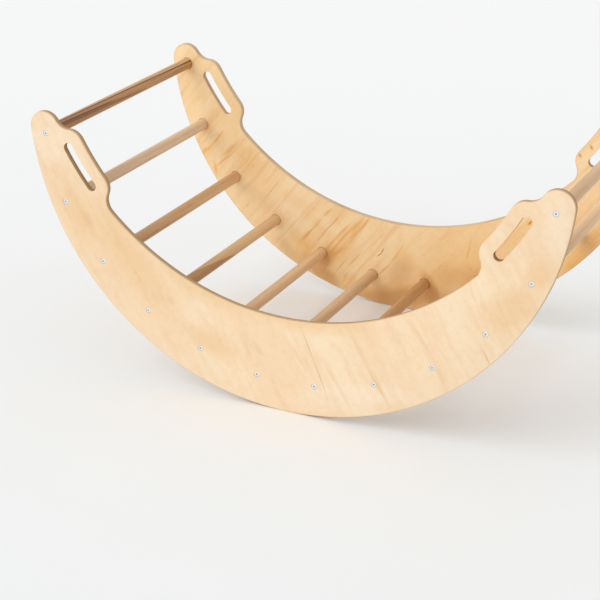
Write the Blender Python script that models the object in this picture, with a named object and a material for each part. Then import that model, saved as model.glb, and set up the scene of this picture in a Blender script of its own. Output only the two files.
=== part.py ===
"""Climbing arch rocker: two crescent plywood side panels joined by twelve round rungs.

The rocker stands on the round lower edges of its panels. X runs along the rocker from horn to horn,
Y runs across it along the rungs, and Z is up, with the floor at Z = 0 under the middle.
"""

from math import acos, atan2, cos, degrees, pi, radians, sin

import bmesh
import bpy
from mathutils import Matrix, Vector

# Driving dimensions of the side panels, in metres. The grips stand up from the cradle's arc, a setback below
# the noses of the horns, and each has a hand slot behind its bar.
OVERALL_WIDTH = 0.588
OVERALL_HEIGHT = 0.5533
PANEL_THICKNESS = 0.012
EDGE_EASE = 0.0015
ROCKER_RADIUS = 0.573
CRADLE_RADIUS = 0.556
WEB_DEPTH = 0.2018
CORNER_RADIUS = 0.033
GRIP_STAND = 0.0385
GRIP_SETBACK = 0.0508
GRIP_LENGTH = 0.0955
GRIP_BAR = 0.025
SLOT_LENGTH = 0.113
SLOT_WIDTH = 0.0246

# Rungs: how far below the nose the top one sits, each one's place on the way from the rocker's middle up to the
# top one, and how far in from the rocking edge each one is
RUNG_DIAMETER = 0.0254
TOP_RUNG_SETBACK = 0.0130
RUNG_STATIONS = (0.0866, 0.2659, 0.4465, 0.6282, 0.8135, 1.0)
RUNG_INSETS = (0.0647, 0.0630, 0.0573, 0.0485, 0.0350, 0.0341)
SOCKET_DEPTH = 0.004

# Screws with a countersunk head and a hexagon socket
HEAD_DIAMETER = 0.0105
HEAD_RIM = 0.0006
HEAD_DEPTH = 0.0032
HEAD_SINK = 0.0002
SHANK_DIAMETER = 0.007
CORE_DIAMETER = 0.005
SCREW_LENGTH = 0.050
TIP_LENGTH = 0.006
KEY_SIZE = 0.004
KEY_SIDES = 6
KEY_DEPTH = 0.0024
PILOT_SPARE = 0.003

# Clearance between pieces that touch, and the facets of round shapes
GAP = 0.0003
CUT_OVERRUN = 0.001
WELD = 0.00001
LONG_ARC_STEP = 2.0
SHORT_ARC_STEP = 12.0
EASE_STEPS = 1
RUNG_SIDES = 20
SCREW_SIDES = 10

# Sizes that follow from the driving dimensions
ROCKER_CENTRE = Vector((0.0, ROCKER_RADIUS))
CRADLE_CENTRE = Vector((0.0, WEB_DEPTH + CRADLE_RADIUS))
GRIP_RADIUS = CRADLE_RADIUS - GRIP_STAND
SLOT_RADIUS = GRIP_RADIUS + GRIP_BAR + SLOT_WIDTH / 2
OUTER_FACE = OVERALL_WIDTH / 2
INNER_FACE = OUTER_FACE - PANEL_THICKNESS
SOCKET_FLOOR = INNER_FACE + SOCKET_DEPTH
RUNG_LENGTH = 2 * (SOCKET_FLOOR - GAP)
PILOT_DEPTH = RUNG_LENGTH / 2 - (OUTER_FACE - HEAD_SINK - SCREW_LENGTH) + PILOT_SPARE


def clear_scene():
    """Removes what a new file holds."""
    for thing in list(bpy.data.objects):
        bpy.data.objects.remove(thing, do_unlink=True)


def make_material(name, colour, roughness, metallic=0.0):
    """A plain Principled material."""
    material = bpy.data.materials.new(name)
    material.use_nodes = True
    shader = material.node_tree.nodes["Principled BSDF"]
    shader.inputs["Base Color"].default_value = (*colour, 1.0)
    shader.inputs["Roughness"].default_value = roughness
    shader.inputs["Metallic"].default_value = metallic
    return material


def add_object(name, mesh, material, parent, location=(0.0, 0.0, 0.0), turn=0.0):
    """An object with one material, turned about Z by turn radians."""
    thing = bpy.data.objects.new(name, mesh)
    if not mesh.materials:
        mesh.materials.append(material)
    thing.parent = parent
    thing.location = location
    thing.rotation_euler = (0.0, 0.0, turn)
    bpy.context.scene.collection.objects.link(thing)
    return thing


def smooth(mesh, sharp_above=30.0):
    """Smooth shading that keeps the edges sharper than the given angle."""
    mesh.shade_smooth()
    mesh.set_sharp_from_angle(angle=radians(sharp_above))


def evaluated_copy(thing):
    """The object's mesh with its modifiers applied."""
    bpy.context.view_layer.update()
    graph = bpy.context.evaluated_depsgraph_get()
    return bpy.data.meshes.new_from_object(thing.evaluated_get(graph))


def weld(mesh):
    """Joins the points that lie on each other, and turns every face outwards."""
    shape = bmesh.new()
    shape.from_mesh(mesh)
    bmesh.ops.remove_doubles(shape, verts=shape.verts, dist=WELD)
    bmesh.ops.recalc_face_normals(shape, faces=shape.faces)
    shape.to_mesh(mesh)
    shape.free()


def lathe(shape, profile, sides, centre=(0.0, 0.0)):
    """Turns a profile of (radius, y) points about a line along Y through centre, given as (x, z)."""
    x, z = centre
    verts = [shape.verts.new((x + radius, y, z)) for radius, y in profile]
    edges = [shape.edges.new(pair) for pair in zip(verts, verts[1:])]
    bmesh.ops.spin(
        shape,
        geom=verts + edges,
        cent=(x, 0.0, z),
        axis=(0.0, 1.0, 0.0),
        angle=2 * pi,
        steps=sides,
        use_merge=True,
    )


def at(centre, radius, angle):
    """The point on a circle at an angle in degrees from straight down, positive towards +X."""
    return centre + radius * Vector((sin(radians(angle)), -cos(radians(angle))))


def common_point(centre_a, reach_a, centre_b, reach_b):
    """The crossing of two circles that lies left of the way from a to b."""
    way = centre_b - centre_a
    along = (way.length_squared + reach_a**2 - reach_b**2) / (2 * way.length)
    aside = (reach_a**2 - along**2) ** 0.5
    forward = way.normalized()
    return centre_a + along * forward + aside * Vector((-forward.y, forward.x))


def tangent_point(circle_a, circle_b):
    """Where two touching circles meet, one inside the other or side by side."""
    large, small = sorted((circle_a, circle_b), key=lambda circle: -circle[1])
    return large[0] + large[1] * (small[0] - large[0]).normalized()


def arc_points(circle, start, end, step, middle_facet):
    """Points from start towards end, without end, round a circle given as (centre, radius, bulges_out)."""
    centre, _, bulges_out = circle
    first = start - centre
    sweep = first.angle_signed(end - centre)
    turn = -sweep % (2 * pi) if bulges_out else sweep % (2 * pi)
    count = max(2, round(degrees(turn) / step))
    if middle_facet and count % 2 == 0:
        count += 1
    sense = 1 if bulges_out else -1
    return [centre + Matrix.Rotation(sense * turn * i / count, 2) @ first for i in range(count)]


def closed_outline(circles, inset=0.0):
    """Points counter-clockwise round a chain of tangent circles, drawn in by inset.

    A long arc has an odd count of facets, so that one lies square at its middle.
    """
    shrunk = [(centre, radius - inset if out else radius + inset, out) for centre, radius, out in circles]
    points = []
    for i, circle in enumerate(shrunk):
        start = tangent_point(shrunk[i - 1], circle)
        end = tangent_point(circle, shrunk[(i + 1) % len(shrunk)])
        is_long = circle[1] > ROCKER_RADIUS / 2
        points += arc_points(circle, start, end, LONG_ARC_STEP if is_long else SHORT_ARC_STEP, is_long)
    return points


def mirrored(circle):
    """The same circle on the rocker's other end."""
    centre, radius, bulges_out = circle
    return (Vector((-centre.x, centre.y)), radius, bulges_out)


def nose_angle():
    """Degrees round the rocker from its middle to the horn's nose, which reaches the overall height."""
    return degrees(acos((ROCKER_RADIUS - OVERALL_HEIGHT + CORNER_RADIUS) / (ROCKER_RADIUS - CORNER_RADIUS)))


def nose_centre():
    """The centre of the right horn's round nose."""
    return at(ROCKER_CENTRE, ROCKER_RADIUS - CORNER_RADIUS, nose_angle())


def grip_angles():
    """Degrees round the cradle's centre to the right grip's upper corner, middle and lower corner."""
    to_nose = nose_centre() - CRADLE_CENTRE
    per_metre = degrees(1 / (GRIP_RADIUS + CORNER_RADIUS))
    top = degrees(atan2(to_nose.x, -to_nose.y)) - GRIP_SETBACK * per_metre
    return top, top - GRIP_LENGTH / 2 * per_metre, top - GRIP_LENGTH * per_metre


def horn_circles():
    """The circles of the right horn, from its nose down to the cradle, as (centre, radius, bulges_out)."""
    corner = CORNER_RADIUS
    nose = nose_centre()
    top_angle, _, foot_angle = grip_angles()
    grip_top = at(CRADLE_CENTRE, GRIP_RADIUS + corner, top_angle)
    grip_foot = at(CRADLE_CENTRE, GRIP_RADIUS + corner, foot_angle)
    notch = common_point(grip_top, 2 * corner, nose, 2 * corner)
    hip = common_point(grip_foot, 2 * corner, CRADLE_CENTRE, CRADLE_RADIUS - corner)
    return [
        (nose, corner, True),
        (notch, corner, False),
        (grip_top, corner, True),
        (CRADLE_CENTRE, GRIP_RADIUS, False),
        (grip_foot, corner, True),
        (hip, corner, False),
    ]


def panel_outline(inset):
    """The crescent, drawn in by inset: rocking edge, right horn, cradle, left horn."""
    horn = horn_circles()
    rocking_edge = (ROCKER_CENTRE, ROCKER_RADIUS, True)
    cradle = (CRADLE_CENTRE, CRADLE_RADIUS, False)
    return closed_outline([rocking_edge, *horn, cradle, *map(mirrored, reversed(horn))], inset)


def slot_outline(widen, end):
    """A hand slot bent round the cradle's centre, widened by widen.

    end is 1 for the right slot and -1 for the left one.
    """
    half = SLOT_WIDTH / 2
    half_angle = degrees((SLOT_LENGTH / 2 - half) / SLOT_RADIUS)
    _, middle, _ = grip_angles()
    circles = [
        (CRADLE_CENTRE, SLOT_RADIUS + half, True),
        (at(CRADLE_CENTRE, SLOT_RADIUS, middle + half_angle), half, True),
        (CRADLE_CENTRE, SLOT_RADIUS - half, False),
        (at(CRADLE_CENTRE, SLOT_RADIUS, middle - half_angle), half, True),
    ]
    return [Vector((end * point.x, point.y)) for point in closed_outline(circles, -widen)]


def rung_spots():
    """(x, z) of the twelve rungs, from the left horn round to the right one."""
    top = nose_angle() - degrees(TOP_RUNG_SETBACK / ROCKER_RADIUS)
    places = zip(RUNG_STATIONS, RUNG_INSETS)
    right = [at(ROCKER_CENTRE, ROCKER_RADIUS - inset, station * top) for station, inset in places]
    left = [Vector((-spot.x, spot.y)) for spot in reversed(right)]
    return left + right


def ease_profile():
    """(inset, y) of the loops across the panel's edge, from inner to outer face, with both corners eased."""
    turns = [pi / 2 * i / EASE_STEPS for i in range(EASE_STEPS + 1)]
    inner = [(EDGE_EASE * (1 - sin(turn)), INNER_FACE + EDGE_EASE * (1 - cos(turn))) for turn in turns]
    outer = [(inset, INNER_FACE + OUTER_FACE - y) for inset, y in reversed(inner)]
    return inner + outer


def add_wall(shape, outline_at):
    """The wall along one outline, lofted through the edge's loops."""
    loops = []
    for inset, y in ease_profile():
        loops.append([shape.verts.new((point.x, y, point.y)) for point in outline_at(inset)])
    for near, far in zip(loops, loops[1:]):
        for i in range(len(near)):
            shape.faces.new((near[i - 1], near[i], far[i], far[i - 1]))


def add_bore(shape, spot):
    """The walls of one countersunk screw hole, from the outer face, and of the rung socket that it runs into."""
    head = HEAD_DIAMETER / 2 + GAP
    shank = SHANK_DIAMETER / 2 + GAP
    socket = RUNG_DIAMETER / 2 + GAP
    hole = [
        (head, OUTER_FACE),
        (head, OUTER_FACE - HEAD_SINK - HEAD_RIM),
        (shank, OUTER_FACE - HEAD_SINK - HEAD_DEPTH),
        (shank, SOCKET_FLOOR),
    ]
    lathe(shape, hole, SCREW_SIDES, tuple(spot))
    lathe(shape, [(socket, SOCKET_FLOOR), (socket, INNER_FACE)], RUNG_SIDES, tuple(spot))


def fill_plane(shape, y):
    """Fills the flat surface at y between all the open rims that lie in it."""
    open_edges = [edge for edge in shape.edges if edge.is_boundary]
    rims = [edge for edge in open_edges if all(abs(vert.co.y - y) < WELD for vert in edge.verts)]
    bmesh.ops.triangle_fill(shape, use_beauty=True, edges=rims)


def panel_mesh(name, side):
    """A side panel standing in its place: walls, bores, and then the flat surfaces between their rims.

    side is -1 for the near panel and 1 for the far one.
    """
    shape = bmesh.new()
    add_wall(shape, panel_outline)
    add_wall(shape, lambda inset: slot_outline(inset, 1))
    add_wall(shape, lambda inset: slot_outline(inset, -1))
    for spot in rung_spots():
        add_bore(shape, spot)
    for y in (OUTER_FACE, SOCKET_FLOOR, INNER_FACE):
        fill_plane(shape, y)
    bmesh.ops.scale(shape, vec=(1.0, side, 1.0), verts=shape.verts)
    mesh = bpy.data.meshes.new(name)
    shape.to_mesh(mesh)
    shape.free()
    weld(mesh)
    smooth(mesh)
    return mesh


def lathed_mesh(name, profile, sides):
    """A mesh turned from one profile about the Y axis."""
    shape = bmesh.new()
    lathe(shape, profile, sides)
    mesh = bpy.data.meshes.new(name)
    shape.to_mesh(mesh)
    shape.free()
    weld(mesh)
    smooth(mesh)
    return mesh


def rung_mesh():
    """A dowel along Y with a pilot bore in each end."""
    end = RUNG_LENGTH / 2
    half_profile = [
        (0.0, end - PILOT_DEPTH),
        (CORE_DIAMETER / 2 + GAP, end - PILOT_DEPTH),
        (CORE_DIAMETER / 2 + GAP, end),
        (RUNG_DIAMETER / 2, end),
    ]
    other_half = [(radius, -y) for radius, y in reversed(half_profile)]
    return lathed_mesh("rung", half_profile + other_half, RUNG_SIDES)


def screw_mesh():
    """A screw along Y, head towards +Y with its top at Y = 0, and a hexagon socket cut into the head."""
    shank_end = PANEL_THICKNESS - SOCKET_DEPTH - HEAD_SINK
    profile = [
        (0.0, 0.0),
        (HEAD_DIAMETER / 2, 0.0),
        (HEAD_DIAMETER / 2, -HEAD_RIM),
        (SHANK_DIAMETER / 2, -HEAD_DEPTH),
        (SHANK_DIAMETER / 2, -shank_end),
        (CORE_DIAMETER / 2, -shank_end),
        (CORE_DIAMETER / 2, TIP_LENGTH - SCREW_LENGTH),
        (0.0, -SCREW_LENGTH),
    ]
    key_radius = KEY_SIZE / 2 / cos(pi / KEY_SIDES)
    key_profile = [
        (0.0, CUT_OVERRUN),
        (key_radius, CUT_OVERRUN),
        (key_radius, -KEY_DEPTH),
        (0.0, -KEY_DEPTH),
    ]
    blank = bpy.data.objects.new("screw_blank", lathed_mesh("screw_blank", profile, SCREW_SIDES))
    key = bpy.data.objects.new("screw_key", lathed_mesh("screw_key", key_profile, KEY_SIDES))
    for thing in (blank, key):
        bpy.context.scene.collection.objects.link(thing)
    cut = blank.modifiers.new("key", "BOOLEAN")
    cut.operation = "DIFFERENCE"
    cut.object = key
    mesh = evaluated_copy(blank)
    mesh.name = "screw"
    for thing in (blank, key):
        bpy.data.objects.remove(thing, do_unlink=True)
    smooth(mesh)
    return mesh


def add_rungs(beech, dark_beech, parent):
    """Twelve rungs. The first is cut from darker wood."""
    light_mesh = rung_mesh()
    dark_mesh = light_mesh.copy()
    for number, spot in enumerate(rung_spots(), 1):
        mesh, wood = (dark_mesh, dark_beech) if number == 1 else (light_mesh, beech)
        add_object(f"rung_{number:02d}", mesh, wood, parent, (spot.x, 0.0, spot.y))


def add_screws(zinc, parent):
    """One screw per rung end, its head just below the panel's outer face."""
    mesh = screw_mesh()
    head = OUTER_FACE - HEAD_SINK
    for side, word, turn in ((-1, "front", pi), (1, "back", 0.0)):
        for number, spot in enumerate(rung_spots(), 1):
            name = f"screw_{word}_{number:02d}"
            add_object(name, mesh, zinc, parent, (spot.x, side * head, spot.y), turn)


def main():
    """The whole rocker, under one empty that stands it on the floor."""
    clear_scene()
    birch = make_material("birch_plywood", (0.87, 0.68, 0.46), 0.5)
    golden_birch = make_material("golden_birch_plywood", (0.80, 0.56, 0.33), 0.5)
    beech = make_material("beech", (0.55, 0.34, 0.19), 0.5)
    dark_beech = make_material("dark_beech", (0.36, 0.17, 0.08), 0.5)
    zinc = make_material("zinc_plated_steel", (0.82, 0.83, 0.85), 0.25, 1.0)
    rocker = bpy.data.objects.new("climbing_arch_rocker", None)
    rocker.location.z = -min(point.y for point in panel_outline(0.0))
    bpy.context.scene.collection.objects.link(rocker)
    add_object("side_panel_front", panel_mesh("side_panel_front", -1), birch, rocker)
    add_object("side_panel_back", panel_mesh("side_panel_back", 1), golden_birch, rocker)
    add_rungs(beech, dark_beech, rocker)
    add_screws(zinc, rocker)


main()
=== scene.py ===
"""Climbing arch rocker: two crescent plywood panels, twelve round rungs and twenty-four screws."""

from math import acos, atan2, cos, degrees, hypot, pi, radians, sin

import bmesh
import bpy
from mathutils import Matrix, Vector


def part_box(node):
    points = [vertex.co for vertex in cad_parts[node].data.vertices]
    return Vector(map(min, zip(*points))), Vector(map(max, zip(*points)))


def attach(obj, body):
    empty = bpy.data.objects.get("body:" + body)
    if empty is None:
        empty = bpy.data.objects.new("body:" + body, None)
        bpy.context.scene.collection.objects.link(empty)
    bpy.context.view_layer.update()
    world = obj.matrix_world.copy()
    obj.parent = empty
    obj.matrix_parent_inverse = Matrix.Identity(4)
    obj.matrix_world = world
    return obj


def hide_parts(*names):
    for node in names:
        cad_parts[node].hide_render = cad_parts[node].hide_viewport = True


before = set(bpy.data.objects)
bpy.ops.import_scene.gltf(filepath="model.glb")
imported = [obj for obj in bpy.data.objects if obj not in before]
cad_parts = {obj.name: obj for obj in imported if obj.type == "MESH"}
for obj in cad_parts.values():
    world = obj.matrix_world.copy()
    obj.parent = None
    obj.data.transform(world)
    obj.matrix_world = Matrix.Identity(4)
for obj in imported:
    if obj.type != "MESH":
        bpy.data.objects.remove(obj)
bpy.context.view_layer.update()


# ---------------------------------------------------------------- Side panels
# The two side panels are sawn from 12 mm birch plywood to one template: a round rocking edge below, a
# cradle above, and a horn with a bent hand slot at each end. Their edges are rounded over, the rung ends
# sit in shallow sockets on the inner faces, and everything is varnished satin.

PANEL_THICKNESS = 0.012
PLIES = 9
ROCKER_RADIUS = 0.5728
CRADLE_RADIUS = 0.556
WEB_DEPTH = 0.2017
OVERALL_HEIGHT = 0.5532
CORNER_RADIUS = 0.033
GRIP_STAND = 0.0385
GRIP_SETBACK = 0.0508
GRIP_LENGTH = 0.0955
GRIP_BAR = 0.025
SLOT_LENGTH = 0.113
SLOT_WIDTH = 0.0246
EDGE_ROUND = 0.0015
EDGE_ROUND_STEPS = 4
SOCKET_DEPTH = 0.004
SOCKET_GAP = 0.0007
SCREW_GAP = 0.0003
MERGE = 0.00001
FACE, EDGE, BORE = range(3)

LONG_ARC = 0.1
LONG_ARC_FACET = 1
SHORT_ARC_FACET = 5
FEWEST_FACETS = 3
BORE_FACETS = 24
SOCKET_FACETS = 64

HEAD_DIAMETER = 0.0105
HEAD_RIM = 0.0006
HEAD_DEPTH = 0.0032
HEAD_SINK = 0.0002
SHANK_DIAMETER = 0.007

ROCKER_CENTRE = Vector((0.0, 0.0, ROCKER_RADIUS))
CRADLE_CENTRE = Vector((0.0, 0.0, WEB_DEPTH + CRADLE_RADIUS))
GRIP_RADIUS = CRADLE_RADIUS - GRIP_STAND
OUTER_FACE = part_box("side_panel_back")[1].y
INNER_FACE = OUTER_FACE - PANEL_THICKNESS
SOCKET_FLOOR = INNER_FACE + SOCKET_DEPTH

MILLIMETRE = 0.001
STREAK_SOFTNESS = 0.8
RIGHT_THROUGH = 1000.0


def tone(red, green, blue):
    """A finish as the eye reads it, from 0 to 255, as the linear colour that a shader takes."""
    linear = [((c / 255 + 0.055) / 1.055) ** 2.4 if c > 10 else c / 255 / 12.92 for c in (red, green, blue)]
    return (*linear, 1.0)


def add(finish, kind, inputs=(), **settings):
    """Adds one node to a finish. inputs are (socket, value or the socket that feeds it)."""
    node = finish.node_tree.nodes.new(kind)
    for name, value in settings.items():
        setattr(node, name, value)
    for socket, value in inputs:
        if isinstance(value, bpy.types.NodeSocket):
            finish.node_tree.links.new(value, node.inputs[socket])
        else:
            node.inputs[socket].default_value = value
    return node


def maths(finish, operation, *values):
    """A Math node's result."""
    return add(finish, "ShaderNodeMath", enumerate(values), operation=operation).outputs[0]


def blended(finish, share, under, over):
    """over laid on under by share."""
    return add(finish, "ShaderNodeMix", ((0, share), (6, under), (7, over)), data_type="RGBA").outputs[2]


def spread(finish, value, low, high, new_low=0.0, new_high=1.0):
    """value stretched from low..high to new_low..new_high, with soft ends."""
    inputs = ((0, value), (1, low), (2, high), (3, new_low), (4, new_high))
    return add(finish, "ShaderNodeMapRange", inputs, interpolation_type="SMOOTHSTEP").outputs[0]


def stained(finish, colour, pattern, low, high, share, stain):
    """A colour with a stain laid on where a pattern is high: nothing at low, and share of it at high."""
    return blended(finish, spread(finish, pattern, low, high, 0.0, share), colour, stain)


def y_of(finish, place):
    """The Y of a place, which runs through the panels and along the rungs."""
    return add(finish, "ShaderNodeSeparateXYZ", ((0, place),)).outputs["Y"]


def drawn_noise(finish, place, scale, detail=3.0, roughness=0.5, distortion=0.0, shift=(0.0, 0.0, 0.0)):
    """Noise from 0 to 1, drawn out along the grain. scale is the waves to a metre along each axis."""
    mapped = add(finish, "ShaderNodeMapping", (("Vector", place), ("Location", shift), ("Scale", scale)))
    inputs = (
        ("Vector", mapped.outputs[0]),
        ("Scale", 1.0),
        ("Detail", detail),
        ("Roughness", roughness),
        ("Distortion", distortion),
    )
    return add(finish, "ShaderNodeTexNoise", inputs).outputs[0]


def swayed(finish, place, waves, amount):
    """The place pushed to and fro across the grain, so that the grain wanders."""
    push = drawn_noise(finish, place, waves, detail=2.0)
    push = maths(finish, "MULTIPLY", maths(finish, "SUBTRACT", push, 0.5), amount)
    push = add(finish, "ShaderNodeCombineXYZ", ((0, push), (2, push))).outputs[0]
    return add(finish, "ShaderNodeVectorMath", ((0, place), (1, push)), operation="ADD").outputs[0]


def frayed(finish, place, waves, amount):
    """The place pushed a little each way, so that what is drawn on it has ragged sides."""
    inputs = (("Vector", place), ("Scale", (waves, waves, waves)))
    mapped = add(finish, "ShaderNodeMapping", inputs).outputs[0]
    noise = add(finish, "ShaderNodeTexNoise", (("Vector", mapped), ("Scale", 1.0), ("Detail", 3.0)))
    inputs = ((0, noise.outputs["Color"]), (1, (0.5, 0.5, 0.5)))
    push = add(finish, "ShaderNodeVectorMath", inputs, operation="SUBTRACT").outputs[0]
    push = add(finish, "ShaderNodeVectorMath", ((0, push), ("Scale", amount)), operation="SCALE").outputs[0]
    return add(finish, "ShaderNodeVectorMath", ((0, place), (1, push)), operation="ADD").outputs[0]


def streaks(finish, place, marks):
    """Soft streaks at (x, z, x, z, width), in millimetres on the panel, as one mask."""
    mask = 0.0
    soft = MILLIMETRE * STREAK_SOFTNESS
    for x1, z1, x2, z2, width in marks:
        inputs = (
            ("Vector", place),
            ("Location", ((x1 + x2) / 2 * MILLIMETRE, 0.0, (z1 + z2) / 2 * MILLIMETRE)),
            ("Rotation", (0.0, -atan2(z2 - z1, x2 - x1), 0.0)),
            ("Scale", (hypot(x2 - x1, z2 - z1) * soft, RIGHT_THROUGH, width * soft)),
        )
        spot = add(finish, "ShaderNodeMapping", inputs, vector_type="TEXTURE").outputs[0]
        reach = add(finish, "ShaderNodeVectorMath", ((0, spot),), operation="LENGTH").outputs["Value"]
        mask = maths(finish, "MAXIMUM", mask, spread(finish, reach, 1.0, 0.2))
    return mask


def marked(finish, place, colour, marks, where):
    """Streaks laid on a colour. marks are (streaks, their tone, waves and size of the fraying, share)."""
    for places, mark_tone, waves, fraying, share in marks:
        mask = streaks(finish, frayed(finish, place, waves, fraying), places)
        mask = maths(finish, "MULTIPLY", maths(finish, "MULTIPLY", mask, share), where)
        colour = blended(finish, mask, colour, mark_tone)
    return colour


def new_finish(name):
    """A new material and its shader."""
    finish = bpy.data.materials.new(name)
    finish.use_nodes = True
    return finish, finish.node_tree.nodes["Principled BSDF"]


def varnished(finish, shader, colour, roughness, relief, depth):
    """Satin varnish over wood: the wood's colour, a roughness that varies and a fine relief."""
    bump = add(finish, "ShaderNodeBump", (("Height", relief), ("Strength", 0.5), ("Distance", depth)))
    links = finish.node_tree.links
    links.new(colour, shader.inputs["Base Color"])
    links.new(roughness, shader.inputs["Roughness"])
    links.new(bump.outputs[0], shader.inputs["Normal"])
    shader.inputs["Specular IOR Level"].default_value = 0.3


def birch_face(name, grain_angle, tones, strength, curl_share, marked_face, tints_and_shade, marks):
    """Rotary-cut birch veneer: cloudy figure and fine fibre, with tinted patches, painted shade and marks
    on one face.
    """
    pale, golden, brown = tones
    finish, shader = new_finish(name)
    place = add(finish, "ShaderNodeTexCoord").outputs["Object"]
    turn = (0.0, radians(grain_angle), 0.0)
    turned = add(finish, "ShaderNodeMapping", (("Vector", place), ("Rotation", turn))).outputs[0]
    grain = swayed(finish, turned, (5.0, 1.0, 9.0), 0.022)
    across = maths(finish, "ABSOLUTE", y_of(finish, place))
    on_sheet = maths(finish, "COMPARE", across, marked_face, SOCKET_DEPTH / 2)

    drift = drawn_noise(finish, grain, (2.0, 1.0, 9.0), detail=2.0, shift=(1.3, 0.0, 0.4))
    clouds = drawn_noise(finish, grain, (9.0, 1.0, 38.0), detail=3.0, roughness=0.55, distortion=0.8)
    curl = drawn_noise(finish, grain, (75.0, 1.0, 75.0), detail=3.0, roughness=0.6, distortion=0.6)
    figure = drawn_noise(finish, grain, (3.2, 1.0, 15.0), detail=2.0, distortion=0.4)
    figure = maths(finish, "SINE", maths(finish, "MULTIPLY", figure, 60.0))
    clear = drawn_noise(finish, grain, (6.0, 1.0, 14.0), shift=(3.1, 0.0, 1.7))
    figure = maths(finish, "MULTIPLY", spread(finish, figure, 0.2, 1.0), spread(finish, clear, 0.45, 0.7))
    bands = drawn_noise(finish, grain, (3.0, 1.0, 70.0), detail=4.0, roughness=0.6)
    fibre = drawn_noise(finish, grain, (30.0, 1.0, 620.0), detail=5.0, roughness=0.65)
    flecks = drawn_noise(finish, grain, (70.0, 1.0, 420.0), detail=2.0)
    threads = drawn_noise(finish, grain, (5.0, 1.0, 150.0), detail=2.0)

    colour = stained(finish, pale, drift, 0.38, 0.66, 0.55, golden)
    colour = stained(finish, colour, clouds, 0.42, 0.72, 0.55, golden)
    # Tinted patches, and on the far sheet painted shade, on the face that shows.
    colour = marked(finish, place, colour, tints_and_shade, on_sheet)
    colour = stained(finish, colour, curl, 0.42, 0.70, curl_share, brown)
    colour = blended(finish, maths(finish, "MULTIPLY", figure, 0.10 * strength), colour, brown)
    colour = stained(finish, colour, bands, 0.46, 0.76, 0.26 * strength, brown)
    colour = stained(finish, colour, fibre, 0.40, 0.75, 0.08 * strength, brown)
    colour = stained(finish, colour, flecks, 0.70, 0.80, 0.18 * strength, brown)

    drawn = maths(finish, "MULTIPLY", on_sheet, spread(finish, threads, 0.36, 0.60, 0.35, 1.0))
    drawn = maths(finish, "MULTIPLY", drawn, spread(finish, fibre, 0.25, 0.60, 0.6, 1.0))
    colour = marked(finish, place, colour, marks, drawn)
    roughness = spread(finish, bands, 0.3, 0.8, 0.46, 0.58)
    varnished(finish, shader, colour, roughness, relief=fibre, depth=0.0002)
    return finish


def ply_edge(name, outer_tone, inner_tone):
    """The sawn edge: nine plies, long grain and end grain by turns, in one tone outside and one inside, the
    side that faces the front lighter as painted light and shade.
    """
    finish, shader = new_finish(name)
    place = add(finish, "ShaderNodeTexCoord").outputs["Object"]
    across = maths(finish, "ABSOLUTE", y_of(finish, place))
    depth = maths(finish, "SUBTRACT", OUTER_FACE, across)
    plies = maths(finish, "MULTIPLY", depth, PLIES / PANEL_THICKNESS)
    turn = maths(finish, "PINGPONG", maths(finish, "ADD", plies, 1.5), 1.0)
    crossed = spread(finish, turn, 0.40, 0.60)
    glue = maths(finish, "ABSOLUTE", maths(finish, "SUBTRACT", turn, 0.5))
    pores = drawn_noise(finish, place, (800.0, 400.0, 800.0), detail=3.0, roughness=0.7)
    scorch = drawn_noise(finish, place, (16.0, 6.0, 16.0), detail=4.0)
    # Painted light and shade across the edge: one tone at the outer face, another at the inner face.
    colour = stained(finish, outer_tone, depth, 0.001, 0.010, 1.0, inner_tone)
    colour = blended(finish, maths(finish, "MULTIPLY", crossed, 0.34), colour, tone(158, 122, 84))
    colour = blended(finish, spread(finish, glue, 0.0, 0.14, 0.28, 0.0), colour, tone(112, 84, 58))
    colour = stained(finish, colour, pores, 0.42, 0.75, 0.25, tone(132, 100, 70))
    colour = stained(finish, colour, scorch, 0.40, 0.75, 0.25, tone(150, 118, 84))
    colour = blended(finish, spread(finish, depth, 0.0008, 0.0015, 0.8, 0.0), colour, tone(240, 206, 162))
    roughness = spread(finish, pores, 0.3, 0.8, 0.55, 0.72)
    varnished(finish, shader, colour, roughness, relief=pores, depth=0.0003)
    return finish


def drilled_wood(name):
    """The walls of the bores: bare end grain, painted dark brown as the shade in the gaps round the rungs.
    """
    finish, shader = new_finish(name)
    place = add(finish, "ShaderNodeTexCoord").outputs["Object"]
    rings = drawn_noise(finish, place, (600.0, 1500.0, 600.0), detail=3.0)
    colour = stained(finish, tone(118, 80, 48), rings, 0.3, 0.7, 1.0, tone(84, 54, 32))
    roughness = spread(finish, rings, 0.3, 0.7, 0.70, 0.85)
    varnished(finish, shader, colour, roughness, relief=rings, depth=0.0003)
    return finish


def touch(one, other):
    """Where two circles that touch meet, each given as (centre, radius, bulges out)."""
    large, small = sorted((one, other), key=lambda circle: -circle[1])
    return large[0] + large[1] * (small[0] - large[0]).normalized()


def on_arc(centre, radius, angle):
    """The point at an angle in radians from straight down, positive towards the right horn."""
    return centre + radius * Vector((sin(angle), 0.0, -cos(angle)))


def crossing(centre_a, centre_b, reach_a, reach_b):
    """The point at reach_a from a and reach_b from b that lies left of the way from a to b."""
    way = centre_b - centre_a
    along = (way.length_squared + reach_a**2 - reach_b**2) / (2 * way.length)
    aside = (reach_a**2 - along**2) ** 0.5
    forward = way.normalized()
    return centre_a + along * forward + aside * Vector((-forward.z, 0.0, forward.x))


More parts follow.
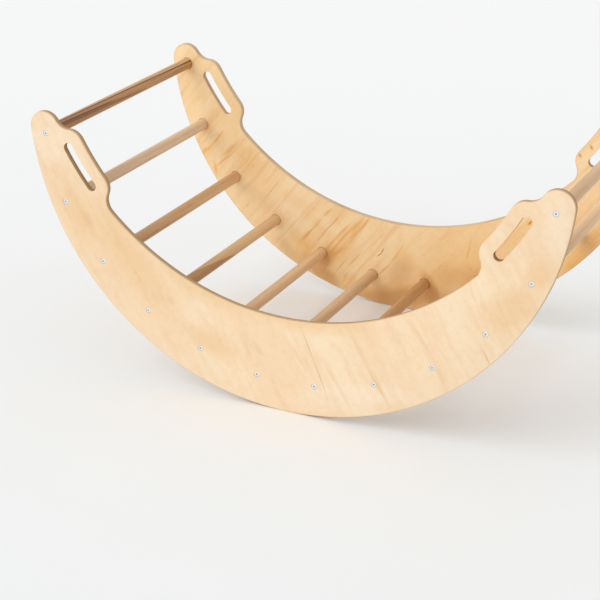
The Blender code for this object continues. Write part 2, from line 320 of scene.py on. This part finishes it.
def swept_edge(circles, start, end):
    """A rounded edge, swept anticlockwise from start to end round a chain of circles that touch."""
    wall = bmesh.new()
    centre, _, bulges_out = circles[0]
    outwards = (start - centre).normalized() * (1 if bulges_out else -1)
    turns = [pi / 2 * i / EDGE_ROUND_STEPS for i in range(EDGE_ROUND_STEPS + 1)]
    section = [(EDGE_ROUND * (1 - sin(turn)), INNER_FACE + EDGE_ROUND * (1 - cos(turn))) for turn in turns]
    section += [(inset, INNER_FACE + OUTER_FACE - y) for inset, y in reversed(section)]
    verts = [wall.verts.new(start - inset * outwards + Vector((0.0, y, 0.0))) for inset, y in section]
    moving = verts + [wall.edges.new(pair) for pair in zip(verts, verts[1:])]
    stops = [start] + [touch(a, b) for a, b in zip(circles, circles[1:])] + [end]
    for (centre, radius, bulges_out), here, there in zip(circles, stops, stops[1:]):
        a, b = here - centre, there - centre
        turn = atan2(a.x * b.z - a.z * b.x, a.x * b.x + a.z * b.z)
        if bulges_out and turn <= 0:
            turn += 2 * pi
        facet_angle = LONG_ARC_FACET if radius > LONG_ARC else SHORT_ARC_FACET
        steps = max(FEWEST_FACETS, round(abs(degrees(turn)) / facet_angle))
        swept = bmesh.ops.spin(wall, geom=moving, cent=centre, axis=(0, -1, 0), angle=turn, steps=steps)
        moving = swept["geom_last"]
    bmesh.ops.remove_doubles(wall, verts=wall.verts, dist=MERGE)
    return wall


def turned_profile(spot, profile, facets):
    """An open shell about a line along Y through spot, turned from (radius, y) points."""
    shell = bmesh.new()
    verts = [shell.verts.new((spot.x + radius, y, spot.z)) for radius, y in profile]
    edges = [shell.edges.new(pair) for pair in zip(verts, verts[1:])]
    bmesh.ops.spin(
        shell, geom=verts + edges, cent=spot, axis=(0, 1, 0), angle=2 * pi, steps=facets, use_merge=True
    )
    bmesh.ops.remove_doubles(shell, verts=shell.verts, dist=MERGE)
    return shell


def join(whole, part):
    """Adds a part to the whole, and frees the part."""
    spare = bpy.data.meshes.new("spare")
    part.to_mesh(spare)
    part.free()
    whole.from_mesh(spare)
    bpy.data.meshes.remove(spare)


def finished_piece(name, shape, finishes, sharp_angle):
    """A piece of the rocker from a bmesh, at the origin and with sharp arrises kept."""
    mesh = bpy.data.meshes.new(name)
    shape.to_mesh(mesh)
    shape.free()
    mesh.set_sharp_from_angle(angle=radians(sharp_angle))
    for finish in finishes:
        mesh.materials.append(finish)
    piece = bpy.data.objects.new(name, mesh)
    bpy.context.scene.collection.objects.link(piece)
    return piece


def panel_outline():
    """The chain of circles round the right half of a panel, from the floor to the middle of the cradle."""
    corner = CORNER_RADIUS
    nose_reach = ROCKER_RADIUS - corner
    nose = on_arc(ROCKER_CENTRE, nose_reach, acos((ROCKER_RADIUS - OVERALL_HEIGHT + corner) / nose_reach))
    grip_reach = GRIP_RADIUS + corner
    to_nose = nose - CRADLE_CENTRE
    top_angle = atan2(to_nose.x, -to_nose.z) - GRIP_SETBACK / grip_reach
    grip_top = on_arc(CRADLE_CENTRE, grip_reach, top_angle)
    grip_foot = on_arc(CRADLE_CENTRE, grip_reach, top_angle - GRIP_LENGTH / grip_reach)
    notch = crossing(grip_top, nose, 2 * corner, 2 * corner)
    hip = crossing(grip_foot, CRADLE_CENTRE, 2 * corner, CRADLE_RADIUS - corner)
    circles = [
        (ROCKER_CENTRE, ROCKER_RADIUS, True),
        (nose, corner, True),
        (notch, corner, False),
        (grip_top, corner, True),
        (CRADLE_CENTRE, GRIP_RADIUS, False),
        (grip_foot, corner, True),
        (hip, corner, False),
        (CRADLE_CENTRE, CRADLE_RADIUS, False),
    ]
    return circles, top_angle - GRIP_LENGTH / 2 / grip_reach


def slot_outline(middle_angle):
    """The chain of circles round the right hand slot, which is bent to follow the grip, and its start."""
    half = SLOT_WIDTH / 2
    radius = GRIP_RADIUS + GRIP_BAR + half
    reach = (SLOT_LENGTH / 2 - half) / radius
    upper = on_arc(CRADLE_CENTRE, radius, middle_angle + reach)
    lower = on_arc(CRADLE_CENTRE, radius, middle_angle - reach)
    circles = [
        (CRADLE_CENTRE, radius + half, True),
        (upper, half, True),
        (CRADLE_CENTRE, radius - half, False),
        (lower, half, True),
        (CRADLE_CENTRE, radius + half, True),
    ]
    return circles, on_arc(CRADLE_CENTRE, radius + half, middle_angle)


def make_panel(name, side, finishes):
    """One side panel, shaped as the far one (side 1) and turned over for the near one (side -1)."""
    outline, grip_angle = panel_outline()
    panel = swept_edge(outline, Vector((0.0, 0.0, 0.0)), Vector((0.0, 0.0, WEB_DEPTH)))
    slot, slot_start = slot_outline(grip_angle)
    join(panel, swept_edge(slot, slot_start, slot_start))
    half_panel = panel.verts[:] + panel.edges[:] + panel.faces[:]
    bmesh.ops.mirror(panel, geom=half_panel, merge_dist=MERGE, axis="X")
    for facet in panel.faces:
        facet.material_index = EDGE

    head = HEAD_DIAMETER / 2 + SCREW_GAP
    shank = SHANK_DIAMETER / 2 + SCREW_GAP
    countersink = [
        (head, OUTER_FACE),
        (head, OUTER_FACE - HEAD_SINK - HEAD_RIM),
        (shank, OUTER_FACE - HEAD_SINK - HEAD_DEPTH),
        (shank, SOCKET_FLOOR),
    ]
    for number in range(1, 13):
        low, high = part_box(f"rung_{number:02d}")
        radius = (high.z - low.z) / 2 + SOCKET_GAP
        socket = [(radius, SOCKET_FLOOR), (radius, INNER_FACE)]
        for profile, facets in ((countersink, BORE_FACETS), (socket, SOCKET_FACETS)):
            bore = turned_profile((low + high) / 2, profile, facets)
            for facet in bore.faces:
                facet.material_index = BORE
            join(panel, bore)
    bmesh.ops.remove_doubles(panel, verts=panel.verts, dist=MERGE)
    for facet in panel.faces:
        facet.smooth = True
    for y, finish_number in ((OUTER_FACE, FACE), (SOCKET_FLOOR, BORE), (INNER_FACE, FACE)):
        rims = [e for e in panel.edges if e.is_boundary and all(abs(v.co.y - y) < MERGE for v in e.verts)]
        flat = bmesh.ops.triangle_fill(panel, use_beauty=True, edges=rims)["geom"]
        for facet in flat:
            if isinstance(facet, bmesh.types.BMFace):
                facet.smooth = False
                facet.material_index = finish_number
    bmesh.ops.scale(panel, vec=(1.0, side, 1.0), verts=panel.verts)
    bmesh.ops.recalc_face_normals(panel, faces=panel.faces)
    return finished_piece(name, panel, finishes, sharp_angle=40)


# The streaks, tinted patches and painted shade in the two sheets that show, each as (x, z, x, z, width) in
# millimetres on the panel.
near_zones = (
    (-460, 390, -260, 180, 100), (-300, 280, -60, 200, 60), (-120, 210, 180, 215, 40),
    (424, 262, 500, 354, 70), (495, 350, 525, 430, 44), (-230, 150, -110, 100, 50),
    (-500, 400, -430, 290, 70),
)
near_pales = (
    (-556, 520, -500, 450, 60), (20, 26, 290, 100, 50), (544, 545, 548, 430, 60),
)
near_wisps = (
    (33, 196, 59, 135, 3), (59, 135, 94, 50, 3), (145, 201, 175, 143, 11), (175, 143, 218, 73, 11),
    (266, 242, 313, 185, 10), (313, 185, 343, 118, 10), (219, 239, 262, 168, 9), (88, 127, 142, 39, 9),
    (401, 319, 414, 289, 6), (441, 286, 450, 274, 5), (515, 439, 529, 426, 5), (7, 154, 44, 105, 9),
    (-71, 147, -51, 114, 9), (-522, 449, -517, 416, 19), (-449, 353, -439, 329, 19),
    (-383, 308, -370, 284, 14), (-433, 268, -422, 248, 14), (-298, 209, -280, 183, 22),
    (-263, 202, -255, 182, 14), (-492, 394, -486, 373, 14), (-155, 139, -141, 115, 12),
    (-89, 128, -78, 93, 11), (-458, 352, -436, 322, 22),
)
near_lines = (
    (40, 180, 62, 128, 1.4), (60, 133, 94, 48, 1.4), (-432, 354, -392, 308, 1.0),
    (-343, 247, -321, 220, 1.0), (192, 112, 220, 72, 1.4),
)
near_cracks = (
    (413, 216, 426, 192, 2.0),
)
far_zones = (
    (-401, 343, -363, 263, 70), (-90, 40, 130, 70, 70), (392, 126, 455, 241, 60), (-171, 48, 5, 18, 55),
    (54, 52, 283, 212, 80), (-10, 130, 40, 90, 50), (232, 188, 316, 254, 40),
)
far_pales = (
    (-316, 212, -224, 156, 40), (-200, 196, -152, 160, 26), (-296, 268, -196, 226, 36),
)
far_honeys = (
    (-122, 136, -182, 60, 34), (-80, 196, -132, 126, 20), (-262, 132, -214, 84, 44),
)
# Deeper orange-brown at a low share: partly the sheet's own tone, partly painted shade low on the panel and
# behind the right horn.
far_orange_and_shade = (
    (84, 66, 204, 124, 64), (-308, 116, -236, 64, 40), (-20, 60, 24, 112, 46), (414, 206, 454, 262, 40),
)
# Painted shade on the far sheet: the rungs' shadows and the darker low part that the near panel shades.
far_painted_shade = (
    (-166, 112, -214, 44, 34), (-240, 78, -150, 18, 40), (-120, 0, 130, 46, 54), (62, 90, 112, 16, 30),
    (50, 20, 110, 50, 30),
)
far_wisps = (
    (-71, 207, -101, 169, 7), (-101, 169, -129, 130, 8), (-129, 130, -164, 94, 10),
    (-89, 192, -135, 150, 22), (-115, 170, -160, 125, 28), (-145, 143, -185, 99, 26),
    (-120, 182, -159, 144, 6), (-159, 144, -192, 102, 8), (-96, 116, -124, 78, 6),
    (-167, 211, -192, 188, 7), (-192, 188, -217, 154, 9), (-217, 154, -243, 123, 9),
    (-152, 194, -172, 169, 3), (-172, 169, -192, 141, 3), (-128, 58, -140, 31, 7), (12, 159, -1, 138, 5),
    (1, 141, -20, 103, 5), (-18, 106, -48, 71, 5), (-446, 357, -473, 322, 6), (-471, 325, -495, 299, 6),
    (-489, 311, -502, 295, 10), (-412, 332, -449, 297, 12), (-420, 311, -466, 268, 5),
    (-471, 284, -466, 253, 11), (424, 450, 430, 438, 6), (400, 429, 407, 417, 6), (299, 248, 311, 264, 9),
    (171, 193, 161, 139, 4), (-564, 542, -550, 548, 4), (385, 150, 450, 215, 50),
    (440, 215, 485, 290, 40),
)
far_lines = (
    (-152, 195, -163, 177, 2.2), (-161, 180, -185, 153, 2.2), (-183, 156, -204, 126, 2.2),
    (-294, 270, -338, 208, 1.4), (-380, 191, -389, 180, 1.6), (-252, 177, -282, 137, 1.4),
    (-459, 352, -507, 318, 1.3), (109, 130, 95, 108, 1.4), (-125, 98, -156, 61, 1.6),
    (-202, 171, -236, 131, 1.6), (-83, 188, -110, 153, 1.8), (-175, 78, -192, 50, 2.4),
    (-26, 96, -47, 72, 2.2), (-369, 281, -367, 288, 3.4), (426, 447, 428, 441, 4.0),
    (402, 426, 405, 420, 4.0),
)
far_cracks = (
    (-37, 137, -45, 122, 2.4), (-43, 125, -53, 115, 2.2), (301, 251, 306, 259, 3.2),
    (173, 125, 173, 120, 2.6), (442, 196, 446, 206, 3.0),
)
# Each edge is painted lighter towards the face that looks to the front and darker towards the back, as
# light and shade.
near_edge = ply_edge("near_sawn_edge", tone(214, 180, 134), tone(180, 144, 98))
far_edge = ply_edge("far_sawn_edge", tone(216, 186, 148), tone(232, 198, 156))
shaded_bore = drilled_wood("shaded_drilled_birch")
pale_birch = birch_face(
    "pale_birch_veneer",
    grain_angle=119.0,
    tones=(tone(246, 223, 190), tone(242, 209, 169), tone(218, 170, 122)),
    strength=0.5,
    curl_share=0.12,
    marked_face=OUTER_FACE,
    tints_and_shade=(
        (near_zones, tone(240, 204, 158), 9.0, 0.050, 0.85),
        (near_pales, tone(249, 229, 202), 9.0, 0.050, 0.60),
    ),
    marks=(
        (near_wisps, tone(218, 170, 122), 35.0, 0.005, 0.24),
        (near_lines, tone(182, 130, 84), 40.0, 0.003, 0.50),
        (near_cracks, tone(182, 130, 84), 40.0, 0.003, 0.95),
    ),
)
golden_birch = birch_face(
    "golden_birch_veneer",
    grain_angle=52.0,
    tones=(tone(251, 223, 177), tone(244, 204, 146), tone(220, 146, 62)),
    strength=1.1,
    curl_share=0.07,
    marked_face=INNER_FACE,
    tints_and_shade=(
        (far_zones, tone(244, 204, 146), 9.0, 0.050, 0.85),
        (far_pales, tone(255, 233, 195), 9.0, 0.030, 0.50),
        (far_honeys, tone(238, 178, 88), 12.0, 0.020, 0.42),
        # The last two lay painted shade in a deep orange-brown; the first of them also deepens the sheet's
        # own orange.
        (far_orange_and_shade, tone(184, 116, 34), 9.0, 0.030, 0.26),
        (far_painted_shade, tone(184, 116, 34), 12.0, 0.020, 0.60),
    ),
    marks=(
        (far_wisps, tone(230, 160, 58), 35.0, 0.005, 0.66),
        (far_lines, tone(166, 98, 32), 40.0, 0.003, 0.50),
        (far_cracks, tone(166, 98, 32), 40.0, 0.003, 0.95),
    ),
)
for name, side, face, edge, node, slot_name in (
    ("near_side_panel", -1, pale_birch, near_edge, "side_panel_front", "birch_panel"),
    ("far_side_panel", 1, golden_birch, far_edge, "side_panel_back", "golden_birch_panel"),
):
    piece = make_panel(name, side, (face, edge, shaded_bore))
    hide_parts(node)
    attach(piece, "root")


# ---------------------------------------------------------------- Rungs
# The twelve rungs are turned beech dowels, an inch thick, sanded and varnished. Their ends are bored for
# the screws and sit in the panels' sockets. Where the log's brown heart runs through one, it is two-toned.

RUNG_FACETS = 64
RUNG_EASE = 0.0005
PILOT_DIAMETER = 0.0056
PILOT_DEPTH = 0.045
PILOT_TIP = 0.001
RING_FACING_X = 0.7034
RING_FACING_Z = -0.7108
ALL_ALONG = (2.0, 3.0)


def past_sheet(finish, place, point, slope):
    """How many metres past a flat growth ring a place is. The ring runs along the rung at a slope to it."""
    facing = Vector((RING_FACING_X, slope, RING_FACING_Z))
    reach = add(finish, "ShaderNodeVectorMath", ((0, place), (1, facing)), operation="DOT_PRODUCT")
    return maths(finish, "SUBTRACT", reach.outputs["Value"], facing.dot(point))


def beech(name, tones, heart=None, veins=(), drawn=0.22):
    """Steamed beech along Y, with painted shade that makes it browner towards the near end, which the near
    panel shades.

    heart is (point, slope, tone). veins are (point, slope, width, y where they start to fade, y where they
    are gone, share).
    """
    pale, warm, brown = tones
    finish, shader = new_finish(name)
    place = add(finish, "ShaderNodeTexCoord").outputs["Object"]
    along = y_of(finish, place)
    grain = swayed(finish, place, (14.0, 5.0, 14.0), 0.008)
    bands = drawn_noise(finish, grain, (60.0, 2.2, 60.0), detail=3.0, roughness=0.55)
    lines = drawn_noise(finish, grain, (240.0, 3.0, 240.0), detail=3.0, roughness=0.6)
    fibre = drawn_noise(finish, grain, (900.0, 16.0, 900.0), detail=4.0, roughness=0.65)
    rays = drawn_noise(finish, grain, (620.0, 130.0, 620.0), detail=1.0)
    colour = stained(finish, pale, bands, 0.35, 0.65, 1.0, warm)
    if heart:
        point, slope, heart_tone = heart
        past = past_sheet(finish, grain, point, slope)
        colour = stained(finish, colour, past, -0.0004, 0.0006, 1.0, heart_tone)
    # Painted shade: darker towards the near end, where the near panel shades the rung.
    colour = stained(finish, colour, along, 0.20, -0.24, 0.34, brown)
    colour = stained(finish, colour, lines, 0.50, 0.75, drawn, brown)
    colour = stained(finish, colour, fibre, 0.40, 0.75, 0.18, brown)
    colour = stained(finish, colour, rays, 0.68, 0.78, 0.40, brown)
    for point, slope, width, fading, gone, strength in veins:
        off = maths(finish, "ABSOLUTE", past_sheet(finish, grain, point, slope))
        share = spread(finish, off, 0.0, width, strength, 0.0)
        share = maths(finish, "MULTIPLY", share, spread(finish, along, gone, fading))
        colour = blended(finish, share, colour, tone(88, 50, 26))
    roughness = spread(finish, fibre, 0.3, 0.8, 0.42, 0.55)
    varnished(finish, shader, colour, roughness, relief=fibre, depth=0.0002)
    return finish


def on_rung(number, along):
    """The point on a rung's middle line at so many metres past its middle, towards the far panel."""
    low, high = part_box(f"rung_{number:02d}")
    return (low + high) / 2 + Vector((0.0, along, 0.0))


pale_beech = beech("pale_beech", (tone(238, 202, 160), tone(226, 186, 143), tone(154, 109, 71)))
tan_beech = beech("tan_beech", (tone(227, 192, 152), tone(215, 177, 136), tone(147, 103, 66)))
grey_beech = beech("grey_beech", (tone(236, 207, 174), tone(226, 193, 159), tone(158, 116, 80)))
brown_beech = beech("brown_beech", (tone(228, 188, 140), tone(216, 172, 123), tone(124, 72, 30)))
red_beech = beech("red_beech", (tone(200, 156, 108), tone(190, 142, 94), tone(134, 86, 48)))
two_tone_beech = beech(
    "two_tone_beech",
    (tone(230, 193, 146), tone(220, 181, 132), tone(152, 105, 64)),
    heart=(on_rung(4, -0.033), -0.123, tone(192, 148, 100)),
    veins=((on_rung(4, -0.033), -0.123, 0.0009, -0.12, 0.12, 0.60),),
)
dark_beech = beech(
    "dark_heart_beech",
    (tone(228, 182, 130), tone(216, 168, 114), tone(118, 70, 34)),
    heart=(on_rung(1, 0.203), -0.0156, tone(200, 150, 100)),
    veins=(
        (on_rung(1, 0.203), -0.0156, 0.0026, *ALL_ALONG, 0.90),
        (on_rung(1, -0.245), -0.0279, 0.0026, -0.09, -0.02, 0.80),
        (on_rung(1, -0.473), -0.0200, 0.0030, 0.02, 0.10, 0.50),
        # The last, broad one is no vein but painted shade over the near end.
        (on_rung(1, -0.334), -0.0254, 0.0090, -0.26, -0.02, 0.35),
    ),
    drawn=0.5,
)
rung_finishes = {
    1: dark_beech,
    2: grey_beech,
    3: brown_beech,
    4: two_tone_beech,
    6: tan_beech,
    7: red_beech,
    9: brown_beech,
}

for number in range(1, 13):
    node = f"rung_{number:02d}"
    low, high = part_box(node)
    radius = (high.z - low.z) / 2
    half_profile = [
        (0.0, high.y - PILOT_DEPTH),
        (PILOT_DIAMETER / 2, high.y - PILOT_DEPTH + PILOT_TIP),
        (PILOT_DIAMETER / 2, high.y),
        (radius - RUNG_EASE, high.y),
        (radius, high.y - RUNG_EASE),
    ]
    profile = half_profile + [(reach, -y) for reach, y in reversed(half_profile)]
    dowel = turned_profile((low + high) / 2, profile, RUNG_FACETS)
    for facet in dowel.faces:
        facet.smooth = True
    bmesh.ops.recalc_face_normals(dowel, faces=dowel.faces)
    beech_finish = rung_finishes.get(number, pale_beech)
    piece = finished_piece(f"dowel_{number:02d}", dowel, [beech_finish], sharp_angle=30)
    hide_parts(node)
    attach(piece, "root")


# ---------------------------------------------------------------- Screws
# One countersunk wood screw holds each rung end. It is bright zinc-plated steel with a hexagon socket, and
# its head is driven just below the veneer.

KEY_SIZE = 0.0036
KEY_DEPTH = 0.0016
CORE_DIAMETER = 0.005
SCREW_LENGTH = 0.050
TIP_LENGTH = 0.006
HEAD_EASE = 0.0002
SHOULDER = 0.0002
SCREW_FACETS = 32
PLATE, PIT = range(2)


def zinc_plate(name):
    """Bright zinc plate: a fine haze of crystals with a faint blue cast."""
    finish, shader = new_finish(name)
    place = add(finish, "ShaderNodeTexCoord").outputs["Object"]
    haze = drawn_noise(finish, place, (400.0, 400.0, 400.0), detail=4.0)
    colour = stained(finish, tone(250, 252, 255), haze, 0.3, 0.7, 1.0, tone(232, 237, 244))
    bump = add(finish, "ShaderNodeBump", (("Height", haze), ("Strength", 0.3), ("Distance", 0.0001)))
    links = finish.node_tree.links
    links.new(colour, shader.inputs["Base Color"])
    links.new(spread(finish, haze, 0.3, 0.7, 0.26, 0.40), shader.inputs["Roughness"])
    links.new(bump.outputs[0], shader.inputs["Normal"])
    shader.inputs["Metallic"].default_value = 1.0
    return finish


def key_pit(name):
    """The bottom and the sides of the hexagon socket, dull and painted a darker grey as shade."""
    finish, shader = new_finish(name)
    place = add(finish, "ShaderNodeTexCoord").outputs["Object"]
    pit_mottle = drawn_noise(finish, place, (900.0, 900.0, 900.0), detail=3.0)
    colour = stained(finish, tone(168, 168, 168), pit_mottle, 0.35, 0.65, 1.0, tone(206, 208, 212))
    finish.node_tree.links.new(colour, shader.inputs["Base Color"])
    finish.node_tree.links.new(spread(finish, pit_mottle, 0.3, 0.7, 0.5, 0.7), shader.inputs["Roughness"])
    shader.inputs["Metallic"].default_value = 0.6
    return finish


zinc = zinc_plate("zinc_plate")
shaded_pit = key_pit("shaded_key_pit")
for side, word in ((-1, "front"), (1, "back")):
    for number in range(1, 13):
        node = f"screw_{word}_{number:02d}"
        low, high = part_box(node)
        spot = (low + high) / 2
        top = max(abs(low.y), abs(high.y))
        profile = [
            (HEAD_DIAMETER / 2 - HEAD_EASE, top),
            (HEAD_DIAMETER / 2, top - HEAD_EASE),
            (HEAD_DIAMETER / 2, top - HEAD_RIM),
            (SHANK_DIAMETER / 2, top - HEAD_DEPTH),
            (SHANK_DIAMETER / 2, SOCKET_FLOOR + SHOULDER),
            (CORE_DIAMETER / 2, SOCKET_FLOOR),
            (CORE_DIAMETER / 2, top - SCREW_LENGTH + TIP_LENGTH),
            (0.0, top - SCREW_LENGTH),
        ]
        screw = turned_profile(spot, profile, SCREW_FACETS)
        for facet in screw.faces:
            facet.smooth = True
        key_place = Matrix.Translation((spot.x, top, spot.z)) @ Matrix.Rotation(pi / 2, 4, "X")
        bmesh.ops.create_circle(screw, segments=6, radius=KEY_SIZE / 2 / cos(pi / 6), matrix=key_place)
        rims = [e for e in screw.edges if len(e.link_faces) < 2]
        key_edges = [e for e in rims if not e.link_faces]
        bmesh.ops.triangle_fill(screw, use_beauty=True, edges=rims)
        pit = bmesh.ops.extrude_edge_only(screw, edges=key_edges)["geom"]
        pit_verts = [g for g in pit if isinstance(g, bmesh.types.BMVert)]
        bmesh.ops.translate(screw, vec=(0, -KEY_DEPTH, 0), verts=pit_verts)
        bmesh.ops.contextual_create(screw, geom=pit_verts)
        for facet in screw.faces:
            facet.material_index = PIT if any(v in pit_verts for v in facet.verts) else PLATE
        bmesh.ops.scale(screw, vec=(1.0, side, 1.0), verts=screw.verts)
        bmesh.ops.recalc_face_normals(screw, faces=screw.faces)
        name = f"zinc_screw_{word}_{number:02d}"
        piece = finished_piece(name, screw, [zinc, shaded_pit], sharp_angle=35)
        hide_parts(node)
        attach(piece, "root")


# ---------------------------------------------------------------- Studio
# A plain white floor in soft daylight, brightest from the upper left, seen at the photograph's angle. The
# floor's colour gets paler away from the camera, as painted light. The camera and reflections see a pale
# wall in place of the sky.

FLOOR_RADIUS = 16.0
FLOOR_FACETS = 96
AWAY = (-0.44, 0.90, 0.0)
FADE_START = -1.0
FADE_END = 3.5
FLOOR_TONES = ((0.886, 0.900, 0.900, 1.0), (0.862, 0.878, 0.878, 1.0))
FAR_FLOOR_TONE = (0.925, 0.930, 0.928, 1.0)
WALL_TONE = (0.94, 0.955, 0.955, 1.0)
WINDOW_STRENGTH = 1.22
WINDOW_SPREAD = 50
WINDOW_WAY = (0.58, 0.58, -0.66)
SKY_STRENGTH = 0.76
LENS = 101.32
CAMERA_PLACE = (1.35339, -2.98810, 1.55562)
CAMERA_TURN = 26.10
CAMERA_DIP = 23.53
CAMERA_ROLL = -0.18

white_floor, floor_shader = new_finish("white_floor")
floor_place = add(white_floor, "ShaderNodeTexCoord").outputs["Object"]
mottle = drawn_noise(white_floor, floor_place, (3.0, 3.0, 3.0), detail=4.0)
far_off = add(white_floor, "ShaderNodeVectorMath", ((0, floor_place), (1, AWAY)), operation="DOT_PRODUCT")
mottled = blended(white_floor, mottle, *FLOOR_TONES)
# Painted light: the floor's colour gets paler away from the camera, for the brighter far floor.
floor_with_far_light = stained(white_floor, mottled, far_off.outputs["Value"], FADE_START, FADE_END, 1.0, FAR_FLOOR_TONE)
white_floor.node_tree.links.new(floor_with_far_light, floor_shader.inputs["Base Color"])
floor_shader.inputs["Roughness"].default_value = 0.6
floor_shader.inputs["Specular IOR Level"].default_value = 0.4
ground = bmesh.new()
bmesh.ops.create_circle(ground, cap_ends=True, segments=FLOOR_FACETS, radius=FLOOR_RADIUS)
floor = finished_piece("floor", ground, [white_floor], sharp_angle=30)

window = bpy.data.lights.new("window", "SUN")
window.energy = WINDOW_STRENGTH
window.angle = radians(WINDOW_SPREAD)
window_light = bpy.data.objects.new("window", window)
window_light.rotation_euler = Vector(WINDOW_WAY).to_track_quat("-Z", "Y").to_euler()
bpy.context.scene.collection.objects.link(window_light)

daylight = bpy.data.worlds.new("daylight")
daylight.use_nodes = True
sky = daylight.node_tree.nodes["Background"]
sky.inputs["Color"].default_value = (1.0, 1.0, 1.0, 1.0)
sky.inputs["Strength"].default_value = SKY_STRENGTH
seen_by = add(daylight, "ShaderNodeLightPath")
seen = maths(daylight, "ADD", seen_by.outputs["Is Camera Ray"], seen_by.outputs["Is Glossy Ray"])
seen = maths(daylight, "MINIMUM", maths(daylight, "ADD", seen, seen_by.outputs["Is Transmission Ray"]), 1.0)
pale_wall = add(daylight, "ShaderNodeBackground", (("Color", WALL_TONE), ("Strength", 1.0)))
both = add(daylight, "ShaderNodeMixShader", ((0, seen), (2, pale_wall.outputs[0])))
daylight.node_tree.links.new(sky.outputs[0], both.inputs[1])
daylight.node_tree.links.new(both.outputs[0], daylight.node_tree.nodes["World Output"].inputs["Surface"])
bpy.context.scene.world = daylight

view = bpy.data.cameras.new("photo_view")
view.sensor_width = 36.0
view.lens = LENS
camera = bpy.data.objects.new("photo_view", view)
aim = Matrix.Rotation(radians(CAMERA_TURN), 4, "Z") @ Matrix.Rotation(radians(90 - CAMERA_DIP), 4, "X")
aim = aim @ Matrix.Rotation(radians(CAMERA_ROLL), 4, "Z")
camera.matrix_world = Matrix.Translation(CAMERA_PLACE) @ aim
bpy.context.scene.collection.objects.link(camera)
bpy.context.scene.camera = camera
bpy.context.scene.view_settings.view_transform = "Standard"
